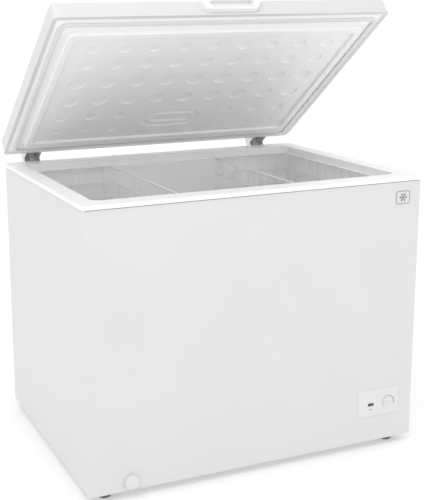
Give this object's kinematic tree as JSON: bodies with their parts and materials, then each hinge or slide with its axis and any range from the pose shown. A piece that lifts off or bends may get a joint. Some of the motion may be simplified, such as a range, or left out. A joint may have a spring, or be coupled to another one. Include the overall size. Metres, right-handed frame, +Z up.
{
  "type": "chest freezer",
  "caption": "White chest freezer on levelling feet: hinged lid standing open over an insulated tub with hanging wire baskets, front thermostat dial, drain cap and compressor bay.",
  "frame": {"origin": "on the floor, under the middle of the whole object's bounding box with the lid open as stored", "axes": "+X to the right of a person standing in front, +Y from the front to the back, +Z up"},
  "size_m": [0.996, 0.828, 1.2811],
  "materials": {
    "white_steel": "gloss white powder coat",
    "back_steel": "satin pale grey coat",
    "zinc_steel": "bright zinc plate",
    "inner_steel": "satin white",
    "rim_plastic": "smooth pale grey-white",
    "lid_plastic": "smooth pale grey-white",
    "white_plastic": "smooth white",
    "foam": "closed-cell foam, matt",
    "copper": "bright drawn tube",
    "black_steel": "satin black",
    "black_plastic": "matt",
    "grey_plastic": "satin grey",
    "gasket_grey": "soft grey vinyl",
    "dark_rubber": "matt",
    "green_lens": "clear green",
    "badge": "satin silver",
    "spring_steel": "bright spring wire",
    "basket_wire": "white plastic-coated wire",
    "foot_grey": "matt grey",
    "panel_grey": "smooth light grey"
  },
  "bodies": {
    "cabinet": {"outer_wrapper": "white_steel", "back_panel": "back_steel", "base_pan": "zinc_steel", "cabinet_foam": "foam", "inner_liner": "inner_steel", "top_collar": "rim_plastic", "condenser_coil": "black_steel", "evaporator_coil": "copper", "machine_housing": "zinc_steel", "compressor_shell": "black_steel", "compressor_plate": "zinc_steel", "compressor_grommets": "dark_rubber", "compressor_bolts": "zinc_steel", "relay_cover": "black_plastic", "discharge_tube": "copper", "suction_tube": "copper", "filter_dryer": "copper", "dryer_tube": "copper", "capillary_tube": "copper", "rear_grille": "black_plastic", "grille_screws": "zinc_steel", "power_gland": "black_plastic", "control_bezel": "panel_grey", "indicator_lens": "green_lens", "indicator_lamp": "grey_plastic", "thermostat_body": "black_plastic", "thermostat_bulb": "copper", "badge_plate": "badge", "drain_tube": "grey_plastic", "drain_flange": "panel_grey", "foot_nuts": "zinc_steel", "hinge_base_left": "zinc_steel", "hinge_base_right": "zinc_steel", "hinge_pin_left": "zinc_steel", "hinge_pin_right": "zinc_steel", "hinge_drums": "grey_plastic", "hinge_base_screws": "zinc_steel"},
    "lid": {"lid_skin": "white_steel", "lid_foam": "foam", "lid_liner": "lid_plastic", "lid_gasket": "gasket_grey", "lid_handle": "white_plastic", "hinge_arm_left": "zinc_steel", "hinge_arm_right": "zinc_steel", "hinge_shoes": "grey_plastic", "hinge_springs": "spring_steel", "hinge_arm_screws": "zinc_steel"},
    "thermostat_dial": {"thermostat_dial": "white_plastic"},
    "drain_spout": {"drain_spout": "grey_plastic"},
    "drain_cap": {"drain_cap": "panel_grey"},
    "drain_plug": {"drain_plug": "grey_plastic"},
    "foot_front_left": {"foot_front_left": "foot_grey"},
    "foot_front_right": {"foot_front_right": "foot_grey"},
    "foot_back_left": {"foot_back_left": "foot_grey"},
    "foot_back_right": {"foot_back_right": "foot_grey"},
    "basket_left": {"basket_left": "basket_wire"},
    "basket_right": {"basket_right": "basket_wire"}
  },
  "joints": [
    {"name": "lid_hinge", "type": "hinge", "parent": "cabinet", "child": "lid", "pos_m": [0, 0.35, 0.736], "axis": [-1, 0, 0], "range_deg": [-36.7, 40]},
    {"name": "basket_left_slide", "type": "slide", "parent": "cabinet", "child": "basket_left", "axis": [1, 0, 0], "range_m": [0, 0.16]},
    {"name": "basket_right_slide", "type": "slide", "parent": "cabinet", "child": "basket_right", "axis": [1, 0, 0], "range_m": [-0.16, 0]},
    {"name": "thermostat_turn", "type": "hinge", "parent": "cabinet", "child": "thermostat_dial", "pos_m": [0.412, -0.398, 0.134], "axis": [0, 1, 0], "range_deg": [-150, 120]},
    {"name": "drain_spout_slide", "type": "slide", "parent": "cabinet", "child": "drain_spout", "axis": [0, -1, 0], "range_m": [0, 0.025]},
    {"name": "drain_cap_turn", "type": "hinge", "parent": "drain_spout", "child": "drain_cap", "pos_m": [-0.38, -0.408, 0.047], "axis": [0, 1, 0], "range_deg": [0, 180]},
    {"name": "drain_plug_lift", "type": "slide", "parent": "cabinet", "child": "drain_plug", "axis": [0, 0, 1], "range_m": [0, 0.04]},
    {"name": "foot_front_left_turn", "type": "hinge", "parent": "cabinet", "child": "foot_front_left", "pos_m": [-0.44, -0.355, 0.01], "axis": [0, 0, 1], "continuous": true},
    {"name": "foot_back_left_turn", "type": "hinge", "parent": "cabinet", "child": "foot_back_left", "pos_m": [-0.44, 0.289, 0.01], "axis": [0, 0, 1], "continuous": true},
    {"name": "foot_front_right_turn", "type": "hinge", "parent": "cabinet", "child": "foot_front_right", "pos_m": [0.44, -0.355, 0.01], "axis": [0, 0, 1], "continuous": true},
    {"name": "foot_back_right_turn", "type": "hinge", "parent": "cabinet", "child": "foot_back_right", "pos_m": [0.44, 0.289, 0.01], "axis": [0, 0, 1], "continuous": true}
  ]
}
